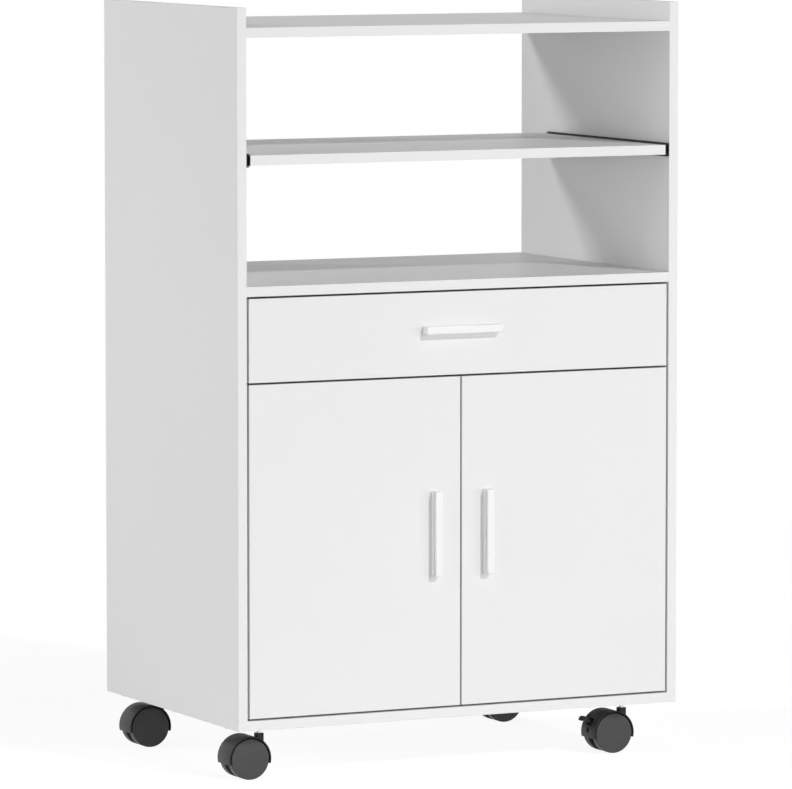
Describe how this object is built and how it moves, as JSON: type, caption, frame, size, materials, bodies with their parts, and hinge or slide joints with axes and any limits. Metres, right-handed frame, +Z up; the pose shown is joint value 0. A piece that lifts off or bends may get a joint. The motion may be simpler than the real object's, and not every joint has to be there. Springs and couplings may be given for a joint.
{
  "type": "microwave cart",
  "caption": "White rolling kitchen cart with open shelf bays, a pull-out shelf, a drawer, a two-door cupboard and twin-wheel casters.",
  "frame": {"origin": "on the floor, in the middle of the cart's overall width and depth", "axes": "+Z up, the front with the doors faces -Y, +X to the right seen from the front"},
  "size_m": [0.6, 0.413, 0.938],
  "materials": {
    "white_laminate": "satin white melamine on particle board",
    "hardboard": "white-faced thin hardboard",
    "black_rail": "matt black coated slide",
    "white_handle": "smooth white moulded plastic",
    "zinc_steel": "bright zinc-plated sheet",
    "chrome": "bright plated steel",
    "black_caster": "black moulded nylon",
    "grey_wheel": "dark grey moulded nylon"
  },
  "bodies": {
    "carcass": {"left_side_panel": "white_laminate", "right_side_panel": "white_laminate", "bottom_board": "white_laminate", "worktop_board": "white_laminate", "top_shelf": "white_laminate", "back_panel": "hardboard", "inner_shelf": "white_laminate", "left_shelf_rail": "black_rail", "right_shelf_rail": "black_rail", "left_cabinet_runner": "zinc_steel", "right_cabinet_runner": "zinc_steel", "left_hinge_arms": "zinc_steel", "right_hinge_arms": "zinc_steel", "caster_stems": "chrome"},
    "pull_tray": {"pull_out_shelf": "white_laminate", "left_shelf_runner": "black_rail", "right_shelf_runner": "black_rail"},
    "drawer": {"drawer_front": "white_laminate", "drawer_left_side": "white_laminate", "drawer_right_side": "white_laminate", "drawer_back": "white_laminate", "drawer_bottom": "hardboard", "drawer_handle": "white_handle", "left_drawer_runner": "zinc_steel", "right_drawer_runner": "zinc_steel"},
    "door_left": {"left_door": "white_laminate", "left_door_handle": "white_handle", "left_hinge_cups": "zinc_steel"},
    "door_right": {"right_door": "white_laminate", "right_door_handle": "white_handle", "right_hinge_cups": "zinc_steel"},
    "front_left_caster": {"front_left_caster_hood": "black_caster"},
    "front_left_outer_roll": {"front_left_outer_wheel": "grey_wheel"},
    "front_left_inner_roll": {"front_left_inner_wheel": "grey_wheel"},
    "front_right_caster": {"front_right_caster_hood": "black_caster"},
    "front_right_outer_roll": {"front_right_outer_wheel": "grey_wheel"},
    "front_right_inner_roll": {"front_right_inner_wheel": "grey_wheel"},
    "rear_left_caster": {"rear_left_caster_hood": "black_caster"},
    "rear_left_outer_roll": {"rear_left_outer_wheel": "grey_wheel"},
    "rear_left_inner_roll": {"rear_left_inner_wheel": "grey_wheel"},
    "rear_right_caster": {"rear_right_caster_hood": "black_caster"},
    "rear_right_outer_roll": {"rear_right_outer_wheel": "grey_wheel"},
    "rear_right_inner_roll": {"rear_right_inner_wheel": "grey_wheel"},
    "front_right_brake": {"front_right_brake_lever": "black_caster"},
    "rear_right_brake": {"rear_right_brake_lever": "black_caster"}
  },
  "joints": [
    {"name": "pull_shelf_slide", "type": "slide", "parent": "carcass", "child": "pull_tray", "axis": [0, -1, 0], "range_m": [0, 0.2]},
    {"name": "drawer_slide", "type": "slide", "parent": "carcass", "child": "drawer", "axis": [0, -1, 0], "range_m": [0, 0.25]},
    {"name": "left_door_hinge", "type": "hinge", "parent": "carcass", "child": "door_left", "pos_m": [-0.265, -0.1855, 0.282], "axis": [0, 0, -1], "range_deg": [0, 95]},
    {"name": "right_door_hinge", "type": "hinge", "parent": "carcass", "child": "door_right", "pos_m": [0.265, -0.1855, 0.282], "axis": [0, 0, 1], "range_deg": [0, 95]},
    {"name": "front_left_swivel", "type": "hinge", "parent": "carcass", "child": "front_left_caster", "pos_m": [-0.25, -0.1435, 0.0425], "axis": [0, 0, 1], "continuous": true},
    {"name": "front_left_outer_wheel_spin", "type": "hinge", "parent": "front_left_caster", "child": "front_left_outer_roll", "pos_m": [-0.2695, -0.1435, 0.025], "axis": [0, 1, 0], "continuous": true},
    {"name": "front_left_inner_wheel_spin", "type": "hinge", "parent": "front_left_caster", "child": "front_left_inner_roll", "pos_m": [-0.2695, -0.1435, 0.025], "axis": [0, 1, 0], "continuous": true},
    {"name": "front_right_swivel", "type": "hinge", "parent": "carcass", "child": "front_right_caster", "pos_m": [0.25, -0.1435, 0.0425], "axis": [0, 0, 1], "continuous": true},
    {"name": "front_right_outer_wheel_spin", "type": "hinge", "parent": "front_right_caster", "child": "front_right_outer_roll", "pos_m": [0.2305, -0.1435, 0.025], "axis": [0, 1, 0], "continuous": true},
    {"name": "front_right_inner_wheel_spin", "type": "hinge", "parent": "front_right_caster", "child": "front_right_inner_roll", "pos_m": [0.2305, -0.1435, 0.025], "axis": [0, 1, 0], "continuous": true},
    {"name": "rear_left_swivel", "type": "hinge", "parent": "carcass", "child": "rear_left_caster", "pos_m": [-0.25, 0.1565, 0.0425], "axis": [0, 0, 1], "continuous": true},
    {"name": "rear_left_outer_wheel_spin", "type": "hinge", "parent": "rear_left_caster", "child": "rear_left_outer_roll", "pos_m": [-0.2695, 0.1565, 0.025], "axis": [0, 1, 0], "continuous": true},
    {"name": "rear_left_inner_wheel_spin", "type": "hinge", "parent": "rear_left_caster", "child": "rear_left_inner_roll", "pos_m": [-0.2695, 0.1565, 0.025], "axis": [0, 1, 0], "continuous": true},
    {"name": "rear_right_swivel", "type": "hinge", "parent": "carcass", "child": "rear_right_caster", "pos_m": [0.25, 0.1565, 0.0425], "axis": [0, 0, 1], "continuous": true},
    {"name": "rear_right_outer_wheel_spin", "type": "hinge", "parent": "rear_right_caster", "child": "rear_right_outer_roll", "pos_m": [0.2305, 0.1565, 0.025], "axis": [0, 1, 0], "continuous": true},
    {"name": "rear_right_inner_wheel_spin", "type": "hinge", "parent": "rear_right_caster", "child": "rear_right_inner_roll", "pos_m": [0.2305, 0.1565, 0.025], "axis": [0, 1, 0], "continuous": true},
    {"name": "front_right_brake_press", "type": "hinge", "parent": "front_right_caster", "child": "front_right_brake", "pos_m": [0.211, -0.1435, 0.037], "axis": [0, -1, 0], "range_deg": [0, 12]},
    {"name": "rear_right_brake_press", "type": "hinge", "parent": "rear_right_caster", "child": "rear_right_brake", "pos_m": [0.211, 0.1565, 0.037], "axis": [0, -1, 0], "range_deg": [0, 12]}
  ]
}
